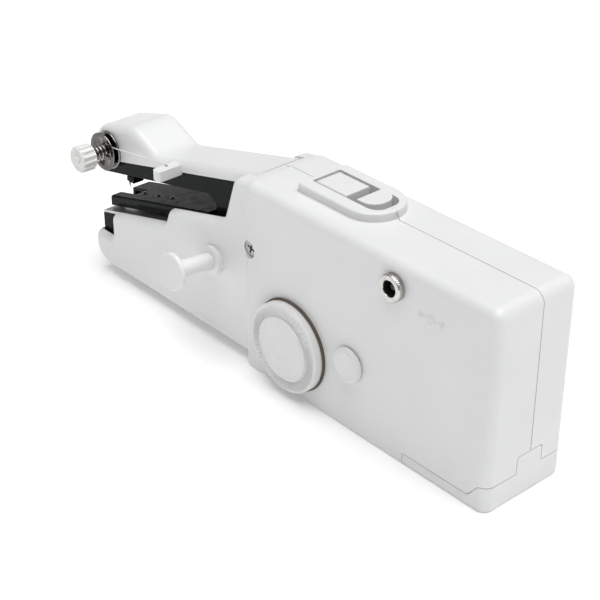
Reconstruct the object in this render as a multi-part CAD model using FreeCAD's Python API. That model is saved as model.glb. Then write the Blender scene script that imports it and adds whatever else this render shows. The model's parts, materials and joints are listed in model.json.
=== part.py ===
import FreeCAD, Part
import math
import os
from FreeCAD import Vector

# Handheld battery sewing machine: grip body, cantilevered jaw and arm, and its drive.
#
# Millimetres, +Z up. The machine stands on the flat bottom of its grip.
# +X points from the needle end to the battery end, -Y is the hand wheel's side.
# All X values below are measured from the front face of the grip; export_node shifts
# them so that the origin lies at the centre of the flat bottom.

# ---- driving dimensions -------------------------------------------------------
BASE_CENTRE_X = 57.0        # grip front face to the centre of the flat bottom

GRIP_LENGTH = 113.7
GRIP_HALF_WIDTH = 17.65
GRIP_HEIGHT = 71.0
WALL = 2.0
SPLIT_Y = 1.6               # plane where the two side shells meet
GRIP_TOP_ROUND = 4.0
GRIP_CORNER_ROUND = 3.8
GRIP_BOTTOM_ROUND = 1.5
INNER_HALF = GRIP_HALF_WIDTH - WALL
INNER_TOP = GRIP_HEIGHT - WALL
INNER_REAR = GRIP_LENGTH - WALL

JAW_HALF = 16.8             # half width of the lower jaw
JAW_BOTTOM = 3.9
JAW_FRONT = -90.4
RIM_FRONT = -79.2
NOSE_TOP = 17.0
RIM_ROUND = 3.1
RIM_SLOPE = 0.268           # rise of the rim and bed per mm towards the grip
RIM_STEP_X = -45.6          # where the rim steps up beside the bed
RIM_STEP_Z = 36.0
BED_THICK = 2.0
PLATE_THICK = 1.0
BED_HALF = 13.45

ARM_HALF = 10.3             # half width of the upper arm
ARM_WALL = 1.6
ARM_FRONT = -95.5
THROAT_REAR = -22.0
CHANNEL_HALF = 8.8
BAND_FLOOR = 1.2

MAIN_X, MAIN_Z = 25.5, 19.6             # hand wheel and main shaft axis
GEAR_MODULE = 0.5
MOTOR_MODULE = 0.4
MAIN_TEETH, WINDER_TEETH, SMALL_TEETH = 60, 54, 14
BIG_TEETH, PINION_TEETH = 48, 12
CENTRE_SLACK = 0.08
WINDER_ANGLE = 12.1                     # directions between gear centres, degrees
COMPOUND_ANGLE = 78.0
MOTOR_ANGLE = 18.0
GEAR_Y0, GEAR_Y1 = -13.4, -10.4         # plane of the hand wheel's gear train
BIG_Y0, BIG_Y1 = -9.8, -7.6             # plane of the motor's gear pair

WHEEL_R = 16.1
WHEEL_POCKET_R = 16.65
WHEEL_BACK, WHEEL_FACE = -16.4, -21.6
POCKET_FLOOR = -16.05

CRANK_R = 3.2                           # crank pin radius on the main gear
ROCKER_X, ROCKER_Z = 12.0, 44.0         # rocker pivot
ROCKER_SWING = 6.6                      # half swing, degrees
ROCKER_Y0, ROCKER_Y1 = -7.2, -4.4
ROD_TOP_X, ROD_TOP_Z = 4.0, 65.8        # rocker's upper pin, at mid stroke
ROD_SLOPE = 0.244
ROD_STROKE = 5.31
BELL_X, BELL_Z = -71.0, 47.6            # bell crank pivot in the head
BELL_SHORT, BELL_LONG = 6.2, 14.4
BELL_SWING = 24.6
NEEDLE_X = BELL_X - BELL_LONG
NEEDLE_STROKE = 12.0
NEEDLE_R = 0.5
NEEDLE_Y = -2.2

LOOPER_Y, LOOPER_Z = 5.0, 11.0
PRESSER_X = -29.0                       # presser plate's hinge
PRESSER_FRONT = -88.5
PRESSER_HALF = 9.3
PRESSER_HEIGHT = 4.0                    # the plate is a shallow channel, open below
PRESSER_SHEET = 1.2
RIVET_XS, RIVET_Y = (-76.0, -67.2, -58.4), -2.4

GUIDE_X0, GUIDE_X1 = -45.4, -41.4       # thread guide lug on the arm
GUIDE_HOLE_X, GUIDE_HOLE_Y = -44.3, -14.8

TENSION_X, TENSION_Z = -86.0, 49.3
THREAD_R = 0.2
SPOOL_X, SPOOL_Z = -16.2, 34.1
SPOOL_TILT = 6.0                        # the spool pin rises outwards, degrees

SWITCH_Y = 1.8                          # centre of the switch bezel
BEZEL_FRONT, BEZEL_CENTRE, BEZEL_R, BEZEL_TOP = 18.0, 42.6, 10.6, 74.0
SLOT_X0, SLOT_X1, SLOT_HALF = 20.4, 50.4, 6.1

JACK_X, JACK_Z = 72.3, 62.5

COVER_X = 78.5                          # front edge of the battery cover
COVER_SEAM_Z = 4.1
COVER_REAR_Z = 9.4
TAB_Y0, TAB_Y1, TAB_TOP = -4.1, 6.9, 15.4
SEAM_GAP = 0.25
CELL_R, CELL_LENGTH, CELL_BOTTOM = 7.1, 50.5, 5.6
CELL_XS = (88.6, 103.2)
CELL_YS = (-7.5, 7.5)
PARTITION_X = 79.0

SCREW_R, SCREW_HEAD_R = 1.2, 2.7
FAR_SCREWS = ((12.0, 6.0), (74.0, 8.0), (58.0, 60.5), (-50.0, 15.5))
NEAR_SCREW = (3.6, 46.5)
NEAR_SCREW_R = 3.0


# ---- small helpers ------------------------------------------------------------
def export_node(shape, name):
    """Move a shape from grip-front coordinates to the base origin and save it."""
    moved = shape.copy()
    moved.translate(Vector(-BASE_CENTRE_X, 0, 0))
    moved.exportStep("parts/" + name + ".step")


def block(x0, x1, y0, y1, z0, z1):
    return Part.makeBox(x1 - x0, y1 - y0, z1 - z0, Vector(x0, y0, z0))


def pin(x, z, radius, y0, y1):
    """Cylinder along Y."""
    return Part.makeCylinder(radius, y1 - y0, Vector(x, y0, z), Vector(0, 1, 0))


def outline(points, to_space):
    """Closed face from (u, v) or (u, v, corner radius) points; to_space maps u, v to a Vector."""
    spots = [to_space(p[0], p[1]) for p in points]
    corners = []
    for i, point in enumerate(points):
        here = spots[i]
        if len(point) < 3:
            corners.append((here, None, here))
            continue
        back = (spots[i - 1] - here).normalize()
        ahead = (spots[(i + 1) % len(spots)] - here).normalize()
        half = back.getAngle(ahead) / 2
        reach = point[2] / math.tan(half)
        middle = (back + ahead).normalize()
        crown = here + middle * (point[2] / math.sin(half) - point[2])
        corners.append((here + back * reach, crown, here + ahead * reach))
    edges = []
    for i, (start, crown, end) in enumerate(corners):
        if crown is not None:
            edges.append(Part.Arc(start, crown, end).toShape())
        following = corners[(i + 1) % len(corners)][0]
        if end.distanceToPoint(following) > 1e-6:
            edges.append(Part.makeLine(end, following))
    return Part.Face(Part.Wire(edges))


def side_prism(points, y0, y1):
    """Profile in the XZ plane, extruded along Y."""
    face = outline(points, lambda u, v: Vector(u, y0, v))
    return face.extrude(Vector(0, y1 - y0, 0))


def plan_prism(points, z0, z1):
    """Profile in the XY plane, extruded along Z."""
    face = outline(points, lambda u, v: Vector(u, v, z0))
    return face.extrude(Vector(0, 0, z1 - z0))


def fillet_where(shape, radius, wanted):
    """Round every edge whose centre of mass passes the wanted test."""
    edges = [e for e in shape.Edges if wanted(e)]
    return shape.makeFillet(radius, edges)


def turned(shape, x, z, degrees):
    """Turn about an axis along +Y through x, z."""
    copy = shape.copy()
    copy.rotate(Vector(x, 0, z), Vector(0, 1, 0), degrees)
    return copy


def ring(x, z, outer, inner, y0, y1):
    return pin(x, z, outer, y0, y1).cut(pin(x, z, inner, y0 - 1, y1 + 1))


def coil(radius, wire, pitch, length, at, axis):
    """Open coil spring of round wire along an axis."""
    path = Part.makeHelix(pitch, length, radius)
    start = Part.Wire(Part.makeCircle(wire, Vector(radius, 0, 0), Vector(0, 1, 0)))
    spring = Part.Wire(path.Edges).makePipeShell([start], True, True)
    spring.rotate(Vector(0, 0, 0), Vector(0, 0, 1).cross(axis), math.degrees(axis.getAngle(Vector(0, 0, 1))))
    spring.translate(at)
    return spring


# ---- lines of the sloping jaw and arm -------------------------------------------
def rim_z(x):
    """Top of the jaw's front rim."""
    return RIM_STEP_Z + RIM_SLOPE * (x - RIM_STEP_X)


def plate_z(x):
    """Top of the needle plate."""
    return rim_z(x) - 0.3


def bed_z(x):
    return plate_z(x) - PLATE_THICK


def bed_under_z(x):
    return bed_z(x) - BED_THICK


def presser_z(x):
    """Underside of the presser plate."""
    return plate_z(x) + 0.6


def cover_edge_z(x):
    """Lower edge of the arm cover."""
    return 63.9 + 0.2526 * (x + 10.5)


def band_z(x):
    """Underside of the upper arm, above the throat."""
    return 52.5 + 0.228 * (x + 31.1)


def rod_z(x):
    """Centre line of the push rod."""
    return ROD_TOP_Z + ROD_SLOPE * (x - ROD_TOP_X)


# ---- casing -----------------------------------------------------------------------
def grip_block():
    grip = block(0, GRIP_LENGTH, -GRIP_HALF_WIDTH, GRIP_HALF_WIDTH, 0, GRIP_HEIGHT)
    grip = fillet_where(grip, GRIP_CORNER_ROUND, lambda e: abs(e.CenterOfMass.z - GRIP_HEIGHT / 2) < 1)
    grip = fillet_where(grip, GRIP_TOP_ROUND, lambda e: e.CenterOfMass.z > GRIP_HEIGHT - 0.1)
    return fillet_where(grip, GRIP_BOTTOM_ROUND, lambda e: e.CenterOfMass.z < 0.1)


def jaw_block():
    """Lower jaw with its stepped, rounded rim and the shoulder beside the arm."""
    profile = [
        (3, JAW_BOTTOM), (JAW_FRONT, JAW_BOTTOM, 8.0), (JAW_FRONT, NOSE_TOP, 3.2),
        (RIM_FRONT, NOSE_TOP, 2.5), (RIM_FRONT, rim_z(RIM_FRONT), 3.3),
        (RIM_STEP_X, RIM_STEP_Z, 1.5), (-43.0, 42.6, 3.3), (-11.6, 51.0, 6.0),
        (-5.6, 69.2, 4.5), (3, 70.6)]
    jaw = side_prism(profile, -JAW_HALF, JAW_HALF)

    def upper_rim(edge):
        middle = edge.CenterOfMass
        on_side = abs(abs(middle.y) - JAW_HALF) < 0.01
        return on_side and middle.x < 2.9 and middle.z > JAW_BOTTOM + 0.1
    jaw = fillet_where(jaw, RIM_ROUND, upper_rim)
    return jaw


def bezel_points(half, front, centre):
    """Plan outline with a square front and a round rear end, centred on the switch."""
    return [(front, SWITCH_Y - half, 1.2), (centre + half, SWITCH_Y - half, half - 0.01),
            (centre + half, SWITCH_Y + half, half - 0.01), (front, SWITCH_Y + half, 1.2)]


def casing_outside():
    body = grip_block().fuse(jaw_block())
    bezel = plan_prism(bezel_points(BEZEL_R, BEZEL_FRONT, BEZEL_CENTRE), INNER_TOP, BEZEL_TOP)
    bezel = fillet_where(bezel, 0.8, lambda e: e.CenterOfMass.z > BEZEL_TOP - 0.01)
    return body.fuse(bezel)


def casing_spaces():
    """Every space inside the casing, as a list of solids to cut."""
    grip_space = block(WALL, INNER_REAR, -INNER_HALF, INNER_HALF, WALL, INNER_TOP)
    jaw_space = side_prism([
        (WALL + 1, JAW_BOTTOM + 2.2), (JAW_FRONT + 2.2, JAW_BOTTOM + 2.2, 5.8),
        (JAW_FRONT + 2.2, bed_under_z(JAW_FRONT + 2.2)), (WALL + 1, bed_under_z(WALL + 1))], -14.6, 14.6)
    bay = side_prism([
        (-100, bed_under_z(-100)), (-9.6, bed_under_z(-9.6)), (-9.6, 80), (-100, 80)], -13.6, 13.6)
    arm_slot = side_prism([
        (-10, bed_under_z(-10)), (0, bed_under_z(0)), (0, 80), (-10, 80)], -ARM_HALF - 0.1, ARM_HALF + 0.1)
    rod_window = block(-1, WALL + 1, -CHANNEL_HALF, CHANNEL_HALF, 57.5, INNER_TOP)
    slot = plan_prism([
        (SLOT_X0, SWITCH_Y - SLOT_HALF, 0.8), (SLOT_X1, SWITCH_Y - SLOT_HALF, 4.5),
        (SLOT_X1, SWITCH_Y + SLOT_HALF, 4.5), (SLOT_X0, SWITCH_Y + SLOT_HALF, 0.8)],
        INNER_TOP - 1, BEZEL_TOP + 1)
    return [grip_space, jaw_space, bay, arm_slot, rod_window, slot]


def cover_region(gap):
    """Space taken by the battery cover: the rear underside, the lower rear wall and its tab."""
    low = side_prism([
        (COVER_X - gap, -1), (GRIP_LENGTH + 1, -1), (GRIP_LENGTH + 1, COVER_REAR_Z + gap),
        (GRIP_LENGTH - 3.4, COVER_REAR_Z + gap, 3.0), (GRIP_LENGTH - 7.4, COVER_SEAM_Z + gap, 3.0),
        (COVER_X - gap, COVER_SEAM_Z + gap)], -30, 30)
    tab = block(INNER_REAR - 1, GRIP_LENGTH + 1, TAB_Y0 - gap, TAB_Y1 + gap, 0, TAB_TOP + gap)
    tab_middle = (TAB_Y0 + TAB_Y1) / 2
    tab = fillet_where(tab, 1.2, lambda e: e.CenterOfMass.z > TAB_TOP - 0.1
                       and abs(e.CenterOfMass.y - tab_middle) > 4)
    return low.fuse(tab)


def wall_bosses():
    """Bosses that hold shafts and screws, standing on the shells' inner faces."""
    near = -INNER_HALF - 0.5
    shapes = [pin(MAIN_X, MAIN_Z, 18.6, near, -14.15)]
    for x, z, radius, reach in bearing_bosses():
        shapes.append(pin(x, z, radius, near, reach))
    for x, z in FAR_SCREWS:
        shapes.append(pin(x, z, 3.0, near if x > 0 else -15.0, INNER_HALF + 0.5 if x > 0 else 15.0))
    shapes.append(pin(*NEAR_SCREW, 3.9, -15.5, -10.5))
    shapes.append(pin(*NEAR_SCREW, 2.6, -10.6, INNER_HALF + 0.5))
    return shapes


def bearing_bosses():
    """(x, z, radius, inner end) of each boss on the near wall."""
    wx, wz = winder_centre()
    cx, cz = compound_centre()
    return [(wx, wz, 3.6, -13.95), (cx, cz, 3.0, -13.9), (ROCKER_X, ROCKER_Z, 3.0, -7.6)]


def casing_holes():
    wx, wz = winder_centre()
    cx, cz = compound_centre()
    spool = spool_cylinder(3.75, -9.5, 3.0)
    shapes = [
        pin(MAIN_X, MAIN_Z, WHEEL_POCKET_R, -20, POCKET_FLOOR),
        pin(MAIN_X, MAIN_Z, 3.6, -20, -13),
        pin(wx, wz, 2.05, -20, -13),
        pin(cx, cz, 1.25, -16.2, -13),
        pin(ROCKER_X, ROCKER_Z, 1.5, -15.9, -7),
        pin(JACK_X, JACK_Z, 3.55, -20, -12),
        pin(*NEAR_SCREW, 3.2, -20, -14.0),
        pin(*NEAR_SCREW, SCREW_R + 0.05, -15, 13.5), spool]
    for x, z in FAR_SCREWS:
        outer = GRIP_HALF_WIDTH if x > 0 else JAW_HALF
        shapes.append(pin(x, z, SCREW_HEAD_R + 0.1, outer - 4.2, outer + 1))
        shapes.append(pin(x, z, SCREW_R + 0.05, -12.0, outer))
    return shapes


def casing():
    """Hollow casing before it is split into its two side shells."""
    body = casing_outside()
    for space in casing_spaces():
        body = body.cut(space)
    for boss in wall_bosses():
        body = body.fuse(boss)
    body = body.cut(cover_region(SEAM_GAP))
    for hole in casing_holes():
        body = body.cut(hole)
    return body


def side_shells():
    body = casing()
    near = body.common(block(-200, 200, -60, SPLIT_Y, -5, 90))
    far = body.common(block(-200, 200, SPLIT_Y, 60, -5, 90))
    export_node(largest(near), "side_shell_near")
    export_node(largest(far), "side_shell_far")


def largest(shape):
    return max(shape.Solids, key=lambda s: s.Volume)


def battery_cover():
    shell = grip_block().cut(block(WALL, INNER_REAR, -INNER_HALF, INNER_HALF, WALL, INNER_TOP))
    cover = largest(shell.common(cover_region(0)))
    export_node(cover, "battery_cover")


# ---- arm -----------------------------------------------------------------------------
def arm_cover():
    """White cover over the arm: a thin run, a ramp and the taller head."""
    rear = -0.05
    outside = side_prism([
        (rear, cover_edge_z(rear)), (ARM_FRONT, cover_edge_z(ARM_FRONT)), (ARM_FRONT, 55.9, 7.5),
        (-72.0, 62.9, 9.0), (-57.0, 55.9, 9.0), (rear, 70.6)], -ARM_HALF, ARM_HALF)
    outside = fillet_where(outside, 3.0, lambda e: on_arm_edge(e))
    inside = side_prism([
        (1, cover_edge_z(1) - 3), (ARM_FRONT + ARM_WALL, cover_edge_z(ARM_FRONT) - 3),
        (ARM_FRONT + ARM_WALL, 54.6, 6.0), (-72.2, 61.2, 8.0), (-57.3, 54.2, 9.0), (1, 69.0)],
        -CHANNEL_HALF, CHANNEL_HALF)
    front_slot = block(ARM_FRONT - 1, ARM_FRONT + 3, -4.2, 4.2, 30, 51.5)
    post_hole = pin(TENSION_X, TENSION_Z, 1.55, -12, -8)
    export_node(largest(outside.cut(inside).cut(front_slot).cut(post_hole)), "arm_cover")


def on_arm_edge(edge):
    middle = edge.CenterOfMass
    on_side = abs(abs(middle.y) - ARM_HALF) < 0.01
    return on_side and middle.z > cover_edge_z(middle.x) + 0.5 and middle.x < -0.5


def chassis():
    """Black C-shaped frame: channel under the arm cover, throat wall and bed."""
    back = -0.1
    frame = side_prism([
        (-91.0, cover_edge_z(-91.0)), (back, cover_edge_z(back)), (back, bed_under_z(back)),
        (-88.0, bed_under_z(-88.0)), (-88.0, bed_z(-88.0)), (THROAT_REAR, bed_z(THROAT_REAR), 4.8),
        (THROAT_REAR, band_z(THROAT_REAR), 4.8), (-91.0, band_z(-91.0), 1.0)], -ARM_HALF, ARM_HALF)
    bed = side_prism([
        (-88.0, bed_under_z(-88.0)), (-9.7, bed_under_z(-9.7)), (-9.7, bed_z(-9.7)),
        (-88.0, bed_z(-88.0))], -BED_HALF, BED_HALF)
    skirt = block(-88.0, -79.4, -BED_HALF, BED_HALF, 12.5, bed_under_z(-88.0) + 0.5)
    skirt_top = side_prism([(-88.0, bed_under_z(-88) - 1), (-79.4, bed_under_z(-88) - 1),
                            (-79.4, bed_z(-79.4) - 0.5), (-88.0, bed_z(-88) - 0.5)], -BED_HALF, BED_HALF)
    skirt = skirt.fuse(skirt_top)
    skirt = skirt.cut(block(-86.5, -79, -11.9, 11.9, 12, 40))
    bed = bed.fuse(skirt)
    frame = frame.fuse(bed)
    channel = side_prism([
        (1, band_z(1) + BAND_FLOOR), (-89.4, band_z(-89.4) + BAND_FLOOR), (-89.4, 50), (-89.4, 80), (1, 80)],
        -CHANNEL_HALF, CHANNEL_HALF)
    frame = frame.cut(channel)
    frame = frame.cut(block(-92, -80.6, -4.2, 4.2, 34, 50)).cut(block(-81, -74.4, 0.9, 4.2, 34, 50))
    frame = frame.cut(block(-87.0, -63.0, -6.5, 6.5, 18, bed_z(-63) + 1).common(
        side_prism([(-88, 10), (-62, 10), (-62, bed_z(-62) + 1), (-88, bed_z(-88) + 1)], -7, 7)))
    foot = block(-84.6, -80.4, -4.2, -0.4, 35.0, 36.9).fuse(block(-81.2, -80.4, -4.2, 0.4, 35.0, 42.5))
    return frame.fuse(foot).cut(guide_rod(0.9))


def hinge_z():
    """Height of the presser plate's hinge pin."""
    return presser_z(PRESSER_X) + 0.6


def throat_chassis():
    frame = chassis()
    for side in (-1, 1):
        ear = block(PRESSER_X - 2.4, PRESSER_X + 2.4, side * 10.6 - 1.0, side * 10.6 + 1.0,
                    bed_z(PRESSER_X) - 1, hinge_z() + 2.2)
        frame = frame.fuse(ear)
    frame = frame.cut(pin(PRESSER_X, hinge_z(), 1.05, -20, 20))
    export_node(largest(frame), "throat_chassis")


def dome(x, y, surface, radius, height):
    """Low round head standing on a sloping surface given as z of x."""
    ball_r = (radius * radius + height * height) / (2 * height)
    ball = Part.makeSphere(ball_r, Vector(x, y, surface(x) + height - ball_r))
    above = side_prism([(x - 5, surface(x - 5) + 0.02), (x + 5, surface(x + 5) + 0.02),
                        (x + 5, surface(x) + 8), (x - 5, surface(x) + 8)], y - 5, y + 5)
    return ball.common(above)


def needle_plate():
    plate = side_prism([
        (-88.0, bed_z(-88.0)), (-46.4, bed_z(-46.4)), (-46.4, plate_z(-46.4)),
        (-88.0, plate_z(-88.0))], -13.3, 13.3)
    needle_slot = block(NEEDLE_X - 1.8, NEEDLE_X + 1.4, NEEDLE_Y - 1.2, NEEDLE_Y + 1.2, 10, 60)
    feed_slots = [block(-79.6, -65.4, y - 0.9, y + 0.9, 10, 60) for y in (-2.5, 2.5)]
    plate = plate.cut(needle_slot)
    for slot in feed_slots:
        plate = plate.cut(slot)
    export_node(plate, "needle_plate")
    screws = [dome(x, y, plate_z, 1.6, 0.7) for x, y in ((-60.0, 10.9), (-50.0, 10.9))]
    export_node(Part.makeCompound(screws), "needle_plate_screws")


# ---- gears ----------------------------------------------------------------------------
def involute(angle):
    return math.tan(angle) - angle


def gear(x, z, teeth, module, y0, y1, phase):
    """Involute spur gear along Y with a tooth centred on the phase angle (degrees, X towards Z)."""
    pressure = math.radians(20)
    pitch_r = module * teeth / 2
    base_r = pitch_r * math.cos(pressure)
    tip_r = pitch_r + 0.82 * module
    root_r = pitch_r - 1.2 * module
    half_tooth = math.pi / (2 * teeth) - 0.06 / pitch_r
    inner_r = max(base_r, root_r)
    flank = []
    for step in range(4):
        r = inner_r + (tip_r - inner_r) * step / 3
        flank.append((r, half_tooth + involute(pressure) - involute(math.acos(min(1, base_r / r)))))
    points = []
    for tooth in range(teeth):
        middle = math.radians(phase) + 2 * math.pi * tooth / teeth
        rising = [(root_r, flank[0][1] + 0.02 / pitch_r)] + flank
        sides = [(r, middle - a) for r, a in rising] + [(r, middle + a) for r, a in reversed(rising)]
        points += [Vector(x + r * math.cos(a), y0, z + r * math.sin(a)) for r, a in sides]
    points.append(points[0])
    return Part.Face(Part.makePolygon(points)).extrude(Vector(0, y1 - y0, 0))


def meshed_phase(phase, teeth, direction, other_teeth):
    """Phase of a second gear that meshes with the first along the line of centres."""
    pitch = 360 / teeth
    offset = (direction - phase) % pitch
    return direction + 180 + offset * teeth / other_teeth + 180 / other_teeth


def along(x, z, distance, degrees):
    return x + distance * math.cos(math.radians(degrees)), z + distance * math.sin(math.radians(degrees))


def winder_centre():
    return along(MAIN_X, MAIN_Z, GEAR_MODULE * (MAIN_TEETH + WINDER_TEETH) / 2 + CENTRE_SLACK, WINDER_ANGLE)


def compound_centre():
    distance = GEAR_MODULE * (WINDER_TEETH + SMALL_TEETH) / 2 + CENTRE_SLACK
    return along(*winder_centre(), distance, COMPOUND_ANGLE)


def motor_centre():
    distance = MOTOR_MODULE * (BIG_TEETH + PINION_TEETH) / 2 + CENTRE_SLACK
    return along(*compound_centre(), distance, MOTOR_ANGLE)


WINDER_PHASE = meshed_phase(WINDER_ANGLE, MAIN_TEETH, WINDER_ANGLE, WINDER_TEETH)
SMALL_PHASE = meshed_phase(WINDER_PHASE, WINDER_TEETH, COMPOUND_ANGLE, SMALL_TEETH)
PINION_PHASE = meshed_phase(SMALL_PHASE, BIG_TEETH, MOTOR_ANGLE, PINION_TEETH)


def drive_train():
    wx, wz = winder_centre()
    cx, cz = compound_centre()
    mx, mz = motor_centre()
    main_gear = gear(MAIN_X, MAIN_Z, MAIN_TEETH, GEAR_MODULE, GEAR_Y0, GEAR_Y1, WINDER_ANGLE)
    export_node(main_gear.cut(pin(MAIN_X, MAIN_Z, 2.0, -20, 0)), "main_gear")
    export_node(pin(MAIN_X, MAIN_Z, 2.0, -20.0, GEAR_Y1), "main_shaft")
    export_node(ring(MAIN_X, MAIN_Z, 3.6, 2.05, POCKET_FLOOR, -14.15), "main_shaft_bush")
    reach = math.hypot(MAIN_X - ROCKER_X, MAIN_Z - ROCKER_Z)
    pin_x = MAIN_X + CRANK_R * (MAIN_Z - ROCKER_Z) / reach
    pin_z = MAIN_Z - CRANK_R * (MAIN_X - ROCKER_X) / reach
    disc = pin(MAIN_X, MAIN_Z, 5.6, GEAR_Y1, GEAR_Y1 + 0.8)
    export_node(disc.fuse(pin(pin_x, pin_z, 1.25, GEAR_Y1, ROCKER_Y0 - 0.3)), "crank_disc")

    winder = gear(wx, wz, WINDER_TEETH, GEAR_MODULE, GEAR_Y0, GEAR_Y1, WINDER_PHASE)
    export_node(winder.cut(pin(wx, wz, 2.0, -20, 0)), "winder_gear")
    export_node(pin(wx, wz, 2.0, -18.6, GEAR_Y1), "winder_shaft")

    small = gear(cx, cz, SMALL_TEETH, GEAR_MODULE, GEAR_Y0, BIG_Y0, SMALL_PHASE)
    big = gear(cx, cz, BIG_TEETH, MOTOR_MODULE, BIG_Y0, BIG_Y1, SMALL_PHASE)
    export_node(small.fuse(big).cut(pin(cx, cz, 1.3, -20, 0)), "reduction_gear")
    export_node(pin(cx, cz, 1.25, -16.2, -7.0), "reduction_axle")

    pinion = gear(mx, mz, PINION_TEETH, MOTOR_MODULE, BIG_Y0, BIG_Y1, PINION_PHASE)
    export_node(pinion.cut(pin(mx, mz, 1.0, -20, 0)), "motor_pinion")
    export_node(pin(mx, mz, 1.0, -10.2, -4.9), "motor_shaft")
    can = pin(mx, mz, 10.0, -5.6, 14.0).common(block(mx - 20, mx + 20, -30, 30, mz - 7.5, mz + 7.5))
    nose = ring(mx, mz, 3.0, 1.05, -6.6, -5.6)
    can = can.fuse(nose).cut(pin(mx, mz, 1.05, -7, -4.8))
    export_node(can, "motor_can")
    cap = pin(mx, mz, 9.2, 14.0, 15.2).common(block(mx - 20, mx + 20, -30, 30, mz - 7, mz + 7))
    export_node(cap, "motor_end_cap")
    cradle = block(mx - 10.35, mx + 10.35, 3.0, 8.0, mz - 9.2, mz + 9.2)
    hollow = pin(mx, mz, 10.05, 2, 9).common(block(mx - 20, mx + 20, 0, 10, mz - 7.55, mz + 7.55))
    export_node(cradle.cut(hollow), "motor_cradle")


def hand_wheel():
    wheel = pin(MAIN_X, MAIN_Z, WHEEL_R, WHEEL_FACE, WHEEL_BACK)
    wheel = fillet_where(wheel, 0.6, lambda e: e.CenterOfMass.y < WHEEL_FACE + 0.01)
    raised = pin(MAIN_X, MAIN_Z, 11.5, -22.5, WHEEL_FACE + 0.1)
    raised = fillet_where(raised, 0.5, lambda e: e.CenterOfMass.y < -22.49)
    wheel = wheel.fuse(raised).cut(pin(MAIN_X, MAIN_Z, 2.0, -20.0, -10))
    export_node(wheel, "hand_wheel")


def winder_cap():
    wx, wz = winder_centre()
    cap = pin(wx, wz, 6.1, -20.0, -18.0)
    cap = fillet_where(cap, 1.0, lambda e: e.CenterOfMass.y < -19.99)
    export_node(cap.cut(pin(wx, wz, 2.0, -18.6, -10)), "winder_cap")


# ---- needle drive -----------------------------------------------------------------------
def arm_plate(start, end, width, y0, y1):
    """Flat bar with round ends between two points in the XZ plane."""
    dx, dz = end[0] - start[0], end[1] - start[1]
    length = math.hypot(dx, dz)
    nx, nz = -dz / length * width / 2, dx / length * width / 2
    bar = side_prism([(start[0] + nx, start[1] + nz), (end[0] + nx, end[1] + nz),
                      (end[0] - nx, end[1] - nz), (start[0] - nx, start[1] - nz)], y0, y1)
    return bar.fuse(pin(*start, width / 2, y0, y1)).fuse(pin(*end, width / 2, y0, y1))


def slot_cutter(centre, direction, half_length, radius, y0, y1):
    """Round-ended slot along a direction (degrees in the XZ plane)."""
    a = along(*centre, half_length, direction)
    b = along(*centre, -half_length, direction)
    return arm_plate(a, b, 2 * radius, y0, y1)


def rocker():
    """Rocking lever from the crank to the push rod, at the needle's top position."""
    pivot = (ROCKER_X, ROCKER_Z)
    lower = math.degrees(math.atan2(MAIN_Z - ROCKER_Z, MAIN_X - ROCKER_X))
    lever = arm_plate(pivot, (ROD_TOP_X, ROD_TOP_Z), 3.6, ROCKER_Y0, ROCKER_Y1)
    lever = lever.fuse(arm_plate(pivot, along(MAIN_X, MAIN_Z, -6, lower), 5.5, ROCKER_Y0, ROCKER_Y1))
    lever = lever.fuse(arm_plate(along(MAIN_X, MAIN_Z, -4, lower), along(MAIN_X, MAIN_Z, 3.5, lower),
                                 8.4, ROCKER_Y0, ROCKER_Y1))
    lever = lever.fuse(pin(*pivot, 3.4, ROCKER_Y0, ROCKER_Y1))
    lever = lever.cut(slot_cutter((MAIN_X, MAIN_Z), lower, 3.8, 1.55, -10, 0))
    lever = lever.cut(pin(*pivot, 1.55, -10, 0))
    lever = lever.fuse(pin(ROD_TOP_X, ROD_TOP_Z, 0.9, ROCKER_Y0, 1.6))
    export_node(turned(lever, *pivot, ROCKER_SWING), "rocker_lever")
    stub = pin(*pivot, 1.5, -15.9, -3.4).fuse(pin(*pivot, 2.4, -4.1, -3.4))
    export_node(stub, "rocker_pivot")


def push_rod():
    """Flat rod along the arm, raised at the front to meet the bell crank."""
    head_x, head_z = BELL_X, BELL_Z + BELL_SHORT
    half = 1.2
    rod = side_prism([
        (-60.0, rod_z(-60.0) - half), (1.0, rod_z(1.0) - half), (1.0, rod_z(1.0) + half),
        (-61.0, rod_z(-61.0) + half)], -1.0, 1.0)
    rod = rod.fuse(arm_plate((-60.5, rod_z(-60.5)), (head_x + 3.0, head_z), 2.4, -1.0, 1.0))
    rod = rod.fuse(block(head_x - 2.4, head_x + 3.4, -1.0, 1.0, head_z - 3.8, head_z + 3.4))
    rod = rod.cut(slot_cutter((head_x, head_z - 0.3), 90, 1.8, 1.1, -3, 3))
    rod = rod.fuse(block(ROD_TOP_X - 3.6, ROD_TOP_X + 2.2, -1.0, 1.0, ROD_TOP_Z - 2.6, ROD_TOP_Z + 2.2))
    rod = rod.cut(slot_cutter((ROD_TOP_X, ROD_TOP_Z), 90, 0.6, 1.15, -3, 3))
    rise = math.atan(ROD_SLOPE)
    rod.translate(Vector(ROD_STROKE / 2 * math.cos(rise), 0, ROD_STROKE / 2 * math.sin(rise)))
    export_node(rod, "push_rod")


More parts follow.
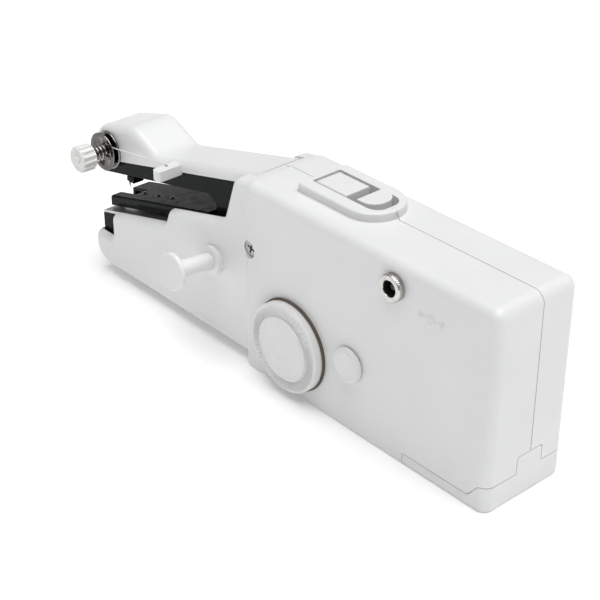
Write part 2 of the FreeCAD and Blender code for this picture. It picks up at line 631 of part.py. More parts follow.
def bell_crank():
    pivot = (BELL_X, BELL_Z)
    crank = arm_plate(pivot, (BELL_X, BELL_Z + BELL_SHORT), 3.2, 1.4, 3.2)
    crank = crank.fuse(arm_plate(pivot, (NEEDLE_X, BELL_Z), 3.2, 1.4, 3.2)).fuse(pin(*pivot, 2.6, 1.4, 4.4))
    crank = crank.cut(pin(*pivot, 1.05, 0, 6))
    crank = crank.fuse(pin(BELL_X, BELL_Z + BELL_SHORT, 0.8, -1.5, 1.5))
    crank = crank.fuse(pin(NEEDLE_X, BELL_Z, 0.8, -0.9, 1.5))
    export_node(turned(crank, *pivot, BELL_SWING), "bell_crank")
    pivot_pin = pin(*pivot, 1.0, 0.9, 5.0).fuse(pin(*pivot, 1.45, 5.0, CHANNEL_HALF - 0.05))
    export_node(pivot_pin, "bell_crank_pivot")


def needle_group():
    """Needle carrier, needle and clamp screw, at the top of the stroke."""
    middle = BELL_Z - 1.0 + NEEDLE_STROKE / 2
    carrier = block(NEEDLE_X - 3.0, NEEDLE_X + 3.6, -3.6, 1.0, middle - 3.0, middle + 3.0)
    carrier = carrier.cut(slot_cutter((NEEDLE_X + 0.6, middle + 1.0), 0, 1.4, 1.1, -1.2, 2))
    carrier = carrier.cut(Part.makeCylinder(0.8, 4, Vector(NEEDLE_X - 0.4, NEEDLE_Y, middle - 3.5)))
    clamp_hole = Part.makeCylinder(1.0, 3, Vector(NEEDLE_X - 4, NEEDLE_Y, middle - 1.4), Vector(1, 0, 0))
    carrier = carrier.cut(clamp_hole)
    carrier = carrier.cut(Part.makeCylinder(0.95, 20, Vector(NEEDLE_X + 2.4, -2.3, middle - 10)))
    export_node(carrier, "needle_carrier")
    tip = 31.0
    top = middle + 0.4
    shank = Part.makeCylinder(0.8, 6.0, Vector(NEEDLE_X - 0.4, NEEDLE_Y, top - 6.0))
    blade = Part.makeCylinder(NEEDLE_R, top - 6.0 - tip - 3.0, Vector(NEEDLE_X - 0.4, NEEDLE_Y, tip + 3.0))
    point = Part.makeCone(0.06, NEEDLE_R, 3.0, Vector(NEEDLE_X - 0.4, NEEDLE_Y, tip))
    eye = block(NEEDLE_X - 0.6, NEEDLE_X - 0.2, -4, 0, tip + 3.6, tip + 4.8)
    export_node(shank.fuse(blade).fuse(point).cut(eye), "needle")
    screw = Part.makeCylinder(1.0, 2.3, Vector(NEEDLE_X - 3.5, NEEDLE_Y, middle - 1.4), Vector(1, 0, 0))
    knob = Part.makeCylinder(1.9, 2.2, Vector(NEEDLE_X - 5.6, NEEDLE_Y, middle - 1.4), Vector(1, 0, 0))
    export_node(screw.fuse(knob), "needle_clamp_screw")
    export_node(guide_rod(0.9), "needle_guide_rod")


def guide_rod(radius):
    """Rod that the needle carrier slides on; its foot sits in the chassis."""
    return Part.makeCylinder(radius, 20.0, Vector(NEEDLE_X + 2.4, -2.3, 36.0))


def looper_group():
    shaft = Part.makeCylinder(1.2, 87, Vector(-81.0, LOOPER_Y, LOOPER_Z), Vector(1, 0, 0))
    hub = Part.makeCylinder(2.2, 3.0, Vector(-84.0, LOOPER_Y, LOOPER_Z), Vector(1, 0, 0))
    arm = block(-83.6, -82.4, LOOPER_Y - 1.0, LOOPER_Y + 1.0, LOOPER_Z, LOOPER_Z + 6.0)
    hook = block(-83.6, -82.4, LOOPER_Y - 6.0, LOOPER_Y + 1.0, LOOPER_Z + 4.6, LOOPER_Z + 6.0)
    export_node(hub.fuse(arm).fuse(hook), "looper")
    lever = arm_plate_x((LOOPER_Y, LOOPER_Z), (LOOPER_Y - 7.0, LOOPER_Z + 4.0), 4.4, 6.0, 8.0)
    export_node(shaft.fuse(lever), "looper_shaft")
    bearings = []
    for x in (-70.0, -20.0):
        bearing = block(x, x + 4.0, LOOPER_Y - 3.2, LOOPER_Y + 3.2, JAW_BOTTOM + 2.2, LOOPER_Z + 3.2)
        bore = Part.makeCylinder(1.25, 6, Vector(x - 1, LOOPER_Y, LOOPER_Z), Vector(1, 0, 0))
        bearings.append(bearing.cut(bore))
    export_node(Part.makeCompound(bearings), "looper_bearings")


def arm_plate_x(start, end, width, x0, x1):
    """Round-ended bar in the YZ plane, thick along X."""
    bar = None
    for step in range(9):
        y = start[0] + (end[0] - start[0]) * step / 8
        z = start[1] + (end[1] - start[1]) * step / 8
        disc = Part.makeCylinder(width / 2, x1 - x0, Vector(x0, y, z), Vector(1, 0, 0))
        bar = disc if bar is None else bar.fuse(disc)
    return bar.removeSplitter()


def feed_dog():
    under = 3.6
    comb = side_prism([
        (-79.0, bed_z(-79.0) - under), (-67.5, bed_z(-67.5) - under), (-67.5, bed_z(-67.5) - 1.6),
        (-79.0, bed_z(-79.0) - 1.6)], -4.2, 4.2)
    for y in (-2.5, 2.5):
        for tooth in range(6):
            x = -77.6 + tooth * 1.6
            comb = comb.fuse(side_prism([
                (x, bed_z(x) - 2.0), (x + 1.5, bed_z(x + 1.5) - 2.0),
                (x + 1.5, plate_z(x + 1.5) + 0.35), (x, plate_z(x) - 0.1)], y - 0.5, y + 0.5))
    bar = block(-66.9, 5.0, -3.0, 3.0, 21.0, 23.4)
    link = block(-69.0, -66.4, -3.0, 3.0, 21.0, bed_z(-69.0) - under + 0.5)
    export_node(comb.fuse(bar).fuse(link), "feed_dog")


def presser_layer(x0, x1, low, high, half):
    """Prism between two heights above the presser plate's underside."""
    return side_prism([(x0, presser_z(x0) + low), (x1, presser_z(x1) + low),
                       (x1, presser_z(x1) + high), (x0, presser_z(x0) + high)], -half, half)


def presser_top(x):
    return presser_z(x) + PRESSER_HEIGHT


def presser_group():
    """Black channel plate that holds the fabric down, hinged near the rear of the throat."""
    plate = presser_layer(PRESSER_FRONT, PRESSER_X, 0, PRESSER_HEIGHT, PRESSER_HALF)
    plate = fillet_where(plate, 0.8, lambda e: abs(e.CenterOfMass.y) > PRESSER_HALF - 0.1
                         and e.CenterOfMass.z > presser_top(e.CenterOfMass.x) - 0.1)
    hollow = presser_layer(PRESSER_FRONT + PRESSER_SHEET, PRESSER_X - 5, -1,
                           PRESSER_HEIGHT - PRESSER_SHEET, PRESSER_HALF - PRESSER_SHEET)
    knuckle = pin(PRESSER_X, hinge_z(), 1.9, -PRESSER_HALF, PRESSER_HALF)
    plate = plate.cut(hollow).fuse(knuckle).cut(pin(PRESSER_X, hinge_z(), 1.05, -10, 10))
    plate = plate.cut(block(-89.0, -78.6, -4.7, 0.9, 10, 50))
    export_node(plate, "presser_plate")
    rivets = [dome(x, RIVET_Y, presser_top, 1.0, 0.5) for x in RIVET_XS]
    export_node(Part.makeCompound(rivets), "presser_rivets")
    export_node(pin(PRESSER_X, hinge_z(), 1.0, -11.6, 11.6), "presser_hinge_pin")


# ---- tension, spool and thread ---------------------------------------------------------------
def tension_group():
    x, z = TENSION_X, TENSION_Z
    post = pin(x, z, 1.5, -23.6, -7.6).fuse(pin(x, z, 3.0, -8.75, -7.2))
    export_node(post, "tension_post")
    discs = []
    for inner_y, outer_y in ((-11.9, -10.6), (-12.3, -13.6)):
        way = Vector(0, math.copysign(1, outer_y - inner_y), 0)
        middle = Vector(x, inner_y, z)
        disc = pin(x, z, 7.3, min(inner_y, outer_y), max(inner_y, outer_y))
        disc = disc.common(Part.makeCone(4.2, 7.3, 1.3, middle, way))
        dish = Part.makeCone(3.6, 6.9, 1.3, middle + way * 0.5, way)
        discs.append(disc.cut(dish).cut(pin(x, z, 1.55, -30, 0)))
    export_node(discs[0], "tension_disc_inner")
    export_node(discs[1], "tension_disc_outer")
    export_node(coil(2.6, 0.45, 1.5, 4.6, Vector(x, -13.4, z), Vector(0, -1, 0)), "tension_spring")
    knob = pin(x, z, 4.6, -24.6, -18.9)
    rib_count = 14
    for i in range(rib_count):
        rx, rz = along(x, z, 4.6, 360 * i / rib_count)
        knob = knob.fuse(pin(rx, rz, 0.55, -24.2, -19.2))
    knob = knob.fuse(pin(x, z, 1.8, -25.3, -24.5)).cut(pin(x, z, 1.55, -23.8, -10))
    export_node(knob, "tension_knob")


def spool_direction():
    return Vector(0, -math.cos(math.radians(SPOOL_TILT)), math.sin(math.radians(SPOOL_TILT)))


def spool_cylinder(radius, start, end):
    """Cylinder on the spool pin's axis; distances run outwards from the jaw's side."""
    direction = spool_direction()
    base = Vector(SPOOL_X, -JAW_HALF, SPOOL_Z) + direction * start
    return Part.makeCylinder(radius, end - start, base, direction)


def spool_group():
    outside = block(SPOOL_X - 9, SPOOL_X + 9, -30, -JAW_HALF - 0.02, SPOOL_Z - 9, SPOOL_Z + 9)
    bush = spool_cylinder(3.7, -9.0, 0.5).fuse(spool_cylinder(5.3, -0.8, 2.4).common(outside))
    bush = bush.cut(spool_cylinder(3.08, -10.0, 3.0))
    export_node(bush, "spool_bush")
    shaft = spool_cylinder(3.0, -8.6, 17.0)
    cap = spool_cylinder(6.7, 17.0, 19.2)
    cap = cap.makeFillet(0.9, [e for e in cap.Edges if e.Length > 30])
    export_node(shaft.fuse(cap), "spool_pin")


def thread_guide():
    lug = block(GUIDE_X0, GUIDE_X1, -20.3, -ARM_HALF, 55.2, 59.0)
    lug = fillet_where(lug, 1.2, lambda e: e.CenterOfMass.y < -20.2 and abs(e.CenterOfMass.z - 57.1) < 0.1)
    lug = lug.cut(Part.makeCylinder(0.6, 12, Vector(GUIDE_HOLE_X, GUIDE_HOLE_Y, 50)))
    export_node(lug, "thread_guide")


def sewing_thread():
    start = Vector(GUIDE_HOLE_X, GUIDE_HOLE_Y, 59.6)
    end = Vector(TENSION_X + 4.6, -12.1, TENSION_Z + 2.8)
    run = end - start
    drop = Part.makeCylinder(THREAD_R, 2.6, start - Vector(0, 0, 2.6))
    thread = Part.makeCylinder(THREAD_R, run.Length, start, run).fuse(drop)
    export_node(thread.fuse(Part.makeSphere(THREAD_R, start)), "sewing_thread")


# ---- power --------------------------------------------------------------------------------------
def switch_group():
    y0, y1 = SWITCH_Y - 5.2, SWITCH_Y + 5.2
    button = block(21.2, 35.2, y0, y1, 69.5, 73.9)
    button = fillet_where(button, 0.6, lambda e: e.CenterOfMass.z > 73.8)
    button = button.fuse(block(20.9, 34.6, y0 - 1.9, y1 + 1.9, 67.3, 68.7)).fuse(
        block(22.0, 34.4, y0, y1, 68.6, 69.6))
    export_node(button, "power_button")
    spring = coil(1.9, 0.35, 1.3, 4.2, Vector(29.0, SWITCH_Y - 4.6, 62.35), Vector(0.0001, 0, 1))
    export_node(spring, "button_spring")
    export_node(block(23.5, 34.0, SWITCH_Y - 2.0, SWITCH_Y + 4.5, 59.4, 65.8), "micro_switch")
    shelf = block(20.0, 37.0, -INNER_HALF, INNER_HALF, 58.0, 59.4)
    shelf = shelf.fuse(pin_z(29.0, SWITCH_Y - 4.6, 1.2, 59.4, 62.0))
    export_node(shelf, "switch_shelf")
    knob = plan_prism([
        (38.6, SWITCH_Y - 5.4, 0.8), (48.2, SWITCH_Y - 5.4, 4.8), (48.2, SWITCH_Y + 5.4, 4.8),
        (38.6, SWITCH_Y + 5.4, 0.8)], 69.5, 74.8)
    ramp = side_prism([(37, 72.0), (41.2, 75.2), (37, 76)], -10, 15)
    knob = knob.cut(ramp)
    knob = knob.fuse(block(38.5, 49.0, y0 - 1.9, y1 + 1.9, 67.3, 68.7)).fuse(
        plan_prism([(39.0, SWITCH_Y - 5.0, 0.8), (47.8, SWITCH_Y - 5.0, 4.4), (47.8, SWITCH_Y + 5.0, 4.4),
                    (39.0, SWITCH_Y + 5.0, 0.8)], 68.6, 69.6))
    export_node(knob, "lock_slider")


def pin_z(x, y, radius, z0, z1):
    return Part.makeCylinder(radius, z1 - z0, Vector(x, y, z0))


def jack_group():
    x, z = JACK_X, JACK_Z
    body = pin(x, z, 3.5, -19.8, -14.0).fuse(block(x - 4.2, x + 4.2, -15.6, -5.0, z - 4.2, z + 4.2))
    body = body.cut(pin(x, z, 2.75, -21, -10.2))
    export_node(body.fuse(pin(x, z, 1.0, -18.4, -10.0)), "dc_jack")
    nut = ring(x, z, 4.6, 3.55, -18.7, -GRIP_HALF_WIDTH)
    export_node(nut, "dc_jack_nut")


def battery_group():
    cells = []
    for x in CELL_XS:
        for y in CELL_YS:
            cell = pin_z(x, y, CELL_R, CELL_BOTTOM, CELL_BOTTOM + CELL_LENGTH - 1.5)
            cell = cell.makeFillet(0.5, cell.Edges[:1] + cell.Edges[2:])
            nub = pin_z(x, y, 2.75, CELL_BOTTOM + CELL_LENGTH - 1.6, CELL_BOTTOM + CELL_LENGTH)
            cells.append(cell.fuse(nub))
    export_node(Part.makeCompound(cells), "battery_cells")
    top = CELL_BOTTOM + CELL_LENGTH
    partition = block(PARTITION_X, PARTITION_X + 1.4, -15.5, 15.5, COVER_SEAM_Z + 1, top + 3.0)
    partition = partition.fuse(block(PARTITION_X, INNER_REAR - 0.1, -15.5, 15.5, top + 1.6, top + 3.0))
    export_node(partition, "battery_partition")
    plates = [block(x - 5, x + 5, -12.5, 12.5, top + 0.05, top + 0.5) for x in CELL_XS]
    export_node(Part.makeCompound(plates), "battery_contacts_upper")
    lower = [block(CELL_XS[0] - 5, CELL_XS[1] + 5, y - 4.5, y + 4.5, WALL + 0.02, WALL + 0.5)
             for y in CELL_YS]
    export_node(Part.makeCompound(lower), "battery_contacts_lower")
    springs = []
    for x in CELL_XS:
        for y in CELL_YS:
            springs.append(coil(3.2, 0.35, 1.2, 1.6, Vector(x, y, WALL + 1.2), Vector(0.0001, 0, 1)))
    export_node(Part.makeCompound(springs), "battery_springs")


def screws():
    heads = []
    for x, z in FAR_SCREWS:
        outer = GRIP_HALF_WIDTH if x > 0 else JAW_HALF
        head = pin(x, z, SCREW_HEAD_R, outer - 4.2, outer - 2.0)
        for turn in (0, 90):
            bar = block(x - 1.6, x + 1.6, outer - 3.2, outer - 1, z - 0.35, z + 0.35)
            head = head.cut(turned(bar, x, z, turn))
        heads.append(head.fuse(pin(x, z, SCREW_R, -11.5, outer - 4.1)))
    x, z = NEAR_SCREW
    head = pin(x, z, NEAR_SCREW_R, -16.4, -14.0)
    for turn in (20, 110):
        bar = block(x - 1.9, x + 1.9, -17.5, -15.3, z - 0.4, z + 0.4)
        head = head.cut(turned(bar, x, z, turn))
    heads.append(head.fuse(pin(x, z, SCREW_R, -14.1, 13.0)))
    export_node(Part.makeCompound(heads), "case_screws")


def main():
    os.makedirs("parts", exist_ok=True)
    side_shells()
    battery_cover()
    arm_cover()
    throat_chassis()
    needle_plate()
    drive_train()
    hand_wheel()
    winder_cap()
    rocker()
    push_rod()
    bell_crank()
    needle_group()
    looper_group()
    feed_dog()
    presser_group()
    tension_group()
    spool_group()
    thread_guide()
    sewing_thread()
    switch_group()
    jack_group()
    battery_group()
    screws()


main()
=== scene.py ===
import json
import math

import bmesh
import bpy
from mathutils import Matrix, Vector


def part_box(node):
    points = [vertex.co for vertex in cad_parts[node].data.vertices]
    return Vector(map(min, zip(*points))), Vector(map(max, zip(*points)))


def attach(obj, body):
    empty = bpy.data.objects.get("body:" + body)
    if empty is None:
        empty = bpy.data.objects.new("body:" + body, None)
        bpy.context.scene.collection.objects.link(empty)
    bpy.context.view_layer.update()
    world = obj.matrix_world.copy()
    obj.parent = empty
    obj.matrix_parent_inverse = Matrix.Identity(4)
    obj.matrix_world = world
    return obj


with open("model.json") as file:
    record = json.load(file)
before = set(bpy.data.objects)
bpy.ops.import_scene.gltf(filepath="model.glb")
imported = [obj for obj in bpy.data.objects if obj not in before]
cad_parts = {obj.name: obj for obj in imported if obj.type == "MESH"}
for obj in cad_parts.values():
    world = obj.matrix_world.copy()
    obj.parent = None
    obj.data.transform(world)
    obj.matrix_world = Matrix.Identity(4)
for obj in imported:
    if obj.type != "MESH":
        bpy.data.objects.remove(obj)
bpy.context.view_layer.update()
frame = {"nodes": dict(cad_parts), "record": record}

MM = 0.001

# ---------------------------------------------------------------- materials


def shader(name):
    """A new node material: its tree, its Principled shader and its object-space coordinates."""
    mat = bpy.data.materials.new(name)
    mat.use_nodes = True
    tree = mat.node_tree
    principled = tree.nodes["Principled BSDF"]
    coords = tree.nodes.new("ShaderNodeTexCoord").outputs["Object"]
    return mat, tree, principled, coords


def noise(tree, coords, scale, detail=2.0):
    """A noise texture's value."""
    node = tree.nodes.new("ShaderNodeTexNoise")
    node.inputs["Scale"].default_value = scale
    node.inputs["Detail"].default_value = detail
    tree.links.new(coords, node.inputs["Vector"])
    return node.outputs["Fac"]


def remap(tree, value, low, high, start=0.3, end=0.7):
    """value from start..end, spread over low..high."""
    node = tree.nodes.new("ShaderNodeMapRange")
    node.inputs["From Min"].default_value = start
    node.inputs["From Max"].default_value = end
    node.inputs["To Min"].default_value = low
    node.inputs["To Max"].default_value = high
    tree.links.new(value, node.inputs["Value"])
    return node.outputs["Result"]


def blend_colours(tree, factor, first, second):
    """A colour mix; first and second are colours or sockets."""
    node = tree.nodes.new("ShaderNodeMix")
    node.data_type = "RGBA"
    tree.links.new(factor, node.inputs[0])
    for socket, colour in ((node.inputs[6], first), (node.inputs[7], second)):
        if isinstance(colour, bpy.types.NodeSocket):
            tree.links.new(colour, socket)
        else:
            socket.default_value = (*colour, 1.0)
    return node.outputs[2]


def specks(tree, coords, scale, size, share):
    """A mask of sparse round specks: size is the share of a cell, share how many cells have one."""
    node = tree.nodes.new("ShaderNodeTexVoronoi")
    node.inputs["Scale"].default_value = scale
    tree.links.new(coords, node.inputs["Vector"])
    spot = remap(tree, node.outputs["Distance"], 1.0, 0.0, size * 0.6, size)
    chosen = tree.nodes.new("ShaderNodeSeparateColor")
    tree.links.new(node.outputs["Color"], chosen.inputs[0])
    keep = remap(tree, chosen.outputs[0], 0.0, 1.0, 1.0 - share, 1.0 - share + 0.01)
    both = tree.nodes.new("ShaderNodeMath")
    both.operation = "MULTIPLY"
    tree.links.new(spot, both.inputs[0])
    tree.links.new(keep, both.inputs[1])
    return both.outputs[0]


def bump(tree, principled, height, distance):
    """Relief of a given depth from a height value."""
    node = tree.nodes.new("ShaderNodeBump")
    node.inputs["Distance"].default_value = distance
    node.inputs["Strength"].default_value = 1.0
    tree.links.new(height, node.inputs["Height"])
    tree.links.new(node.outputs["Normal"], principled.inputs["Normal"])


def plastic(name, light, dark, rough=(0.3, 0.42), level=0.5, grain=900.0, relief=0.02 * MM,
            speck=None, subsurface=0.0):
    """Moulded plastic: a slow drift of colour, a fine uneven gloss, a faint moulding texture."""
    mat, tree, principled, coords = shader(name)
    drift = remap(tree, noise(tree, coords, 45.0), 0.0, 1.0)
    colour = blend_colours(tree, drift, dark, light)
    if speck:
        mask = specks(tree, coords, 70.0, 0.016, 0.25)
        colour = blend_colours(tree, mask, colour, speck)
    tree.links.new(colour, principled.inputs["Base Color"])
    gloss = remap(tree, noise(tree, coords, 260.0, 4.0), rough[0], rough[1])
    tree.links.new(gloss, principled.inputs["Roughness"])
    bump(tree, principled, noise(tree, coords, grain, 3.0), relief)
    principled.inputs["Specular IOR Level"].default_value = level
    principled.inputs["Subsurface Weight"].default_value = subsurface
    principled.inputs["Subsurface Radius"].default_value = (0.003, 0.003, 0.0028)
    return mat


def metal(name, light, dark, rough=(0.15, 0.3), grain=2500.0, relief=0.01 * MM):
    """Metal: worn patches of colour and gloss over fine tool marks."""
    mat, tree, principled, coords = shader(name)
    patches = remap(tree, noise(tree, coords, 380.0, 4.0), 0.0, 1.0)
    colour = blend_colours(tree, patches, dark, light)
    tree.links.new(colour, principled.inputs["Base Color"])
    gloss = remap(tree, noise(tree, coords, 700.0, 4.0), rough[0], rough[1])
    tree.links.new(gloss, principled.inputs["Roughness"])
    bump(tree, principled, noise(tree, coords, grain, 2.0), relief)
    principled.inputs["Metallic"].default_value = 1.0
    return mat


SLOT_MATERIALS = {
    "white_shell": plastic("white_shell", (0.79, 0.795, 0.795), (0.765, 0.77, 0.77),
                           speck=(0.32, 0.31, 0.29)),
    "white_trim": plastic("white_trim", (0.79, 0.795, 0.79), (0.765, 0.77, 0.765),
                          speck=(0.32, 0.31, 0.29)),
    "knob_white": plastic("knob_white", (0.82, 0.82, 0.805), (0.77, 0.77, 0.75),
                          rough=(0.25, 0.4), subsurface=0.35),
    "black_chassis": plastic("black_chassis", (0.009, 0.0115, 0.012), (0.006, 0.008, 0.0085),
                             rough=(0.10, 0.16), level=0.05),
    "black_steel": plastic("black_steel", (0.014, 0.016, 0.017), (0.009, 0.010, 0.011),
                           rough=(0.12, 0.2), level=0.06),
    "steel": metal("steel", (0.56, 0.56, 0.55), (0.50, 0.50, 0.49), (0.30, 0.36),
                   grain=300.0, relief=0.0001 * MM),
    "polished_steel": metal("polished_steel", (0.46, 0.45, 0.43), (0.36, 0.35, 0.33), (0.04, 0.11),
                            relief=0.002 * MM),
    "nickel_plate": metal("nickel_plate", (0.62, 0.61, 0.58), (0.45, 0.44, 0.42), (0.14, 0.3)),
    "nylon": plastic("nylon", (0.83, 0.82, 0.77), (0.78, 0.77, 0.72), rough=(0.4, 0.55)),
    "bronze": metal("bronze", (0.62, 0.43, 0.24), (0.48, 0.31, 0.16), (0.3, 0.5)),
    "black_plastic": plastic("black_plastic", (0.022, 0.022, 0.023), (0.014, 0.014, 0.015),
                             rough=(0.3, 0.5)),
    "cell_case": plastic("cell_case", (0.05, 0.16, 0.12), (0.03, 0.11, 0.08), rough=(0.25, 0.35)),
    "thread": plastic("thread", (0.84, 0.84, 0.83), (0.70, 0.70, 0.69), rough=(0.6, 0.8),
                      grain=9000.0),
}

# Painted shadow: a dark brown for the ring that stands in for the shade in the hand wheel's gap.
PAINTED_GAP_SHADOW = plastic("painted_gap_shadow", (0.16, 0.13, 0.105), (0.11, 0.09, 0.072), rough=(0.6, 0.8),
                    level=0.1)
SEAM_SHADE = plastic("seam_shade", (0.30, 0.30, 0.30), (0.22, 0.22, 0.22), rough=(0.6, 0.8),
                     level=0.1)
DARK_CHROME = metal("dark_chrome", (0.13, 0.125, 0.115), (0.09, 0.085, 0.08), (0.05, 0.12),
                    relief=0.0006 * MM)


def finish_nodes():
    """Gives every carried-over CAD node the material of its slot."""
    for part in frame["record"]["subparts"]:
        node = frame["nodes"][part["node"]]
        node.data.materials.clear()
        node.data.materials.append(SLOT_MATERIALS[part["material_slot"]])


# ---------------------------------------------------------------- detail pieces

SURFACE_LIFT = 0.04 * MM                  # how far a line or emboss stands over its face
SHARP_ANGLE = math.radians(40.0)
TURN = 2.0 * math.pi
TOWARDS_WHEEL_SIDE = Vector((0.0, -1.0, 0.0))


def middle(node):
    low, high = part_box(node)
    return (Vector(low) + Vector(high)) / 2.0


def front_face(node):
    """The Y of a node's wheel-side face."""
    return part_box(node)[0][1]


def half_length(node):
    """Half of a node's size along X: the radius of one that is round about Y."""
    low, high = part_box(node)
    return (high[0] - low[0]) / 2.0


def add_piece(name, maker, body, slot, material=None):
    """A finished mesh piece that rides a body, in the finish of a slot or a shade of its own."""
    bmesh.ops.recalc_face_normals(maker, faces=maker.faces)
    mesh = bpy.data.meshes.new(name)
    maker.to_mesh(mesh)
    maker.free()
    mesh.materials.append(material or SLOT_MATERIALS[slot])
    mesh.shade_smooth()
    mesh.set_sharp_from_angle(angle=SHARP_ANGLE)
    piece = bpy.data.objects.new(name, mesh)
    bpy.context.scene.collection.objects.link(piece)
    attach(piece, body)


def join_sections(maker, first, second):
    """Faces between two closed outlines that have the same number of points."""
    for index in range(len(first)):
        after = (index + 1) % len(first)
        maker.faces.new((first[index], first[after], second[after], second[index]))


def turned_outlines(maker, centre, outlines):
    """Joins outlines of (radius, y) points, spaced evenly round a Y axis through centre."""
    rings = []
    for step, outline in enumerate(outlines):
        angle = TURN * step / len(outlines)
        rings.append([maker.verts.new((centre.x + radius * math.cos(angle), y,
                                       centre.z + radius * math.sin(angle)))
                      for radius, y in outline])
    for step, ring in enumerate(rings):
        join_sections(maker, ring, rings[(step + 1) % len(rings)])


def turned_ring(maker, centre, outline, segments=96):
    """Turns one closed outline of (radius, y) points round a Y axis through centre."""
    turned_outlines(maker, centre, [outline] * segments)


def bead_profile(radius, half_width, height, face, steps=6):
    """The outline of a rounded bead on a face that looks towards -Y."""
    arc = [math.pi * step / steps for step in range(steps + 1)]
    outline = [(radius - half_width * math.cos(a), face - height * math.sin(a)) for a in arc]
    return outline + [(radius + half_width, face + SURFACE_LIFT),
                      (radius - half_width, face + SURFACE_LIFT)]


RIDGE_OUTLINE = ((-0.5, -0.3), (-0.38, 0.6), (0.0, 1.0), (0.38, 0.6), (0.5, -0.3))
RIDGE_END_LENGTH = 0.4                    # of the width, past each end
RIDGE_END_SCALE = 0.15


def ridge(maker, start, end, width, height, out):
    """A rounded ridge from start to end on a face whose outward direction is out."""
    along = (end - start).normalized()
    side = along.cross(out)
    past = along * width * RIDGE_END_LENGTH
    sections = []
    for place, scale in ((start - past, RIDGE_END_SCALE), (start, 1.0), (end, 1.0),
                         (end + past, RIDGE_END_SCALE)):
        sections.append([maker.verts.new(place + side * u * width * (0.4 + 0.6 * scale)
                                         + out * v * height * (scale if v > 0 else 1.0))
                         for u, v in RIDGE_OUTLINE])
    for near, far in zip(sections, sections[1:]):
        join_sections(maker, near, far)
    maker.faces.new(sections[0])
    maker.faces.new(list(reversed(sections[-1])))


WHEEL_RIBS = 90
RIB_INNER, RIB_OUTER = 12.2 * MM, 15.0 * MM
RIB_WIDTH, RIB_HEIGHT = 0.46 * MM, 0.42 * MM
WHEEL_STEP = 0.9 * MM                     # how far the centre disc stands over the ribbed ring
WHEEL_BEADS = ((3.6 * MM, 0.25 * MM, 0.10 * MM), (10.5 * MM, 0.35 * MM, 0.12 * MM))


def wheel_ribs():
    """Fine radial grip ribs on the outer ring of the hand wheel, and two faint rings on its disc."""
    centre = middle("hand_wheel")
    disc_face = front_face("hand_wheel")
    hub = Vector((centre.x, disc_face + WHEEL_STEP, centre.z))
    maker = bmesh.new()
    for step in range(WHEEL_RIBS):
        angle = TURN * step / WHEEL_RIBS
        outward = Vector((math.cos(angle), 0.0, math.sin(angle)))
        ridge(maker, hub + outward * RIB_INNER, hub + outward * RIB_OUTER, RIB_WIDTH, RIB_HEIGHT,
              TOWARDS_WHEEL_SIDE)
    for radius, half_width, height in WHEEL_BEADS:
        turned_ring(maker, centre, bead_profile(radius, half_width, height, disc_face))
    add_piece("wheel_ribs", maker, "hand_wheel", "white_trim")


# The painted shadow ring in the hand wheel's gap: its clearance from the wheel, its wall and its
# depth.
SHADOW_RING_GAP = 0.2 * MM
SHADOW_RING_WALL = 0.3 * MM
SHADOW_RING_HEIGHT = 1.1 * MM


def wheel_gap_shadow():
    """A dark brown ring in the pocket round the hand wheel: painted shadow in the gap between wheel
    and shell.
    """
    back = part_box("hand_wheel")[1][1]
    inner = half_length("hand_wheel") + SHADOW_RING_GAP
    face = front_face("side_shell_near")
    maker = bmesh.new()
    turned_ring(maker, middle("hand_wheel"),
                [(inner, back), (inner, face - SHADOW_RING_HEIGHT),
                 (inner + SHADOW_RING_WALL * 0.6, face - SHADOW_RING_HEIGHT), (inner + SHADOW_RING_WALL, face),
                 (inner + SHADOW_RING_WALL, back)])
    add_piece("wheel_gap_shadow", maker, "casing", "white_shell", PAINTED_GAP_SHADOW)


RIM_BEAD = 0.28 * MM
RIM_STEPS = 10


def disc_rim(name, lip, inward):
    """The rolled rim of one tension disc; inward is the Y direction from its lip."""
    radius = half_length(name) - RIM_BEAD
    turns = [TURN * step / RIM_STEPS for step in range(RIM_STEPS)]
    maker = bmesh.new()
    turned_ring(maker, middle(name),
                [(radius + RIM_BEAD * math.cos(a), lip + RIM_BEAD * inward + RIM_BEAD * math.sin(a))
                 for a in turns])
    add_piece(name + "_rim", maker, "casing", "polished_steel")


def disc_rims():
    """Bright rolled rims on the two tension discs, which get a darker mirror finish."""
    disc_rim("tension_disc_inner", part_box("tension_disc_inner")[1][1], -1.0)
    disc_rim("tension_disc_outer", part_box("tension_disc_outer")[0][1], 1.0)
    for name in ("tension_disc_inner", "tension_disc_outer"):
        frame["nodes"][name].data.materials[0] = DARK_CHROME


def winder_rim():
    """The rounded rim that stands round the flat centre of the winder cap."""
    maker = bmesh.new()
    turned_ring(maker, middle("winder_cap"),
                bead_profile(5.0 * MM, 0.45 * MM, 0.22 * MM, front_face("winder_cap")))
    add_piece("winder_rim", maker, "winder", "white_trim")


JACK_TEETH = 40
TOOTH_HEIGHT = 0.10 * MM
TOOTH_STEPS = 4                           # two at the crest and two in the gap
JACK_LIP_DEPTH = 1.5 * MM                 # how far the rim reaches in over the barrel's end
JACK_LIP_HEIGHT = 0.22 * MM
JACK_WALL = 0.28 * MM


def jack_rim():
    """The knurled plated rim over the black barrel of the DC socket."""
    face = front_face("dc_jack")
    back = front_face("dc_jack_nut")
    barrel = half_length("dc_jack")
    inner, outer = barrel + 0.02 * MM, barrel + JACK_WALL
    lip = barrel - JACK_LIP_DEPTH
    outlines = []
    for step in range(JACK_TEETH * TOOTH_STEPS):
        tooth = outer + (TOOTH_HEIGHT if step % TOOTH_STEPS < 2 else 0.0)
        outlines.append([(inner, back), (inner, face - SURFACE_LIFT), (lip, face - SURFACE_LIFT),
                         (lip + 0.12 * MM, face - JACK_LIP_HEIGHT),
                         (barrel + 0.10 * MM, face - JACK_LIP_HEIGHT),
                         (outer, face - 0.02 * MM), (tooth, face + 0.15 * MM), (tooth, back)])
    maker = bmesh.new()
    turned_outlines(maker, middle("dc_jack"), outlines)
    add_piece("jack_rim", maker, "casing", "nickel_plate")


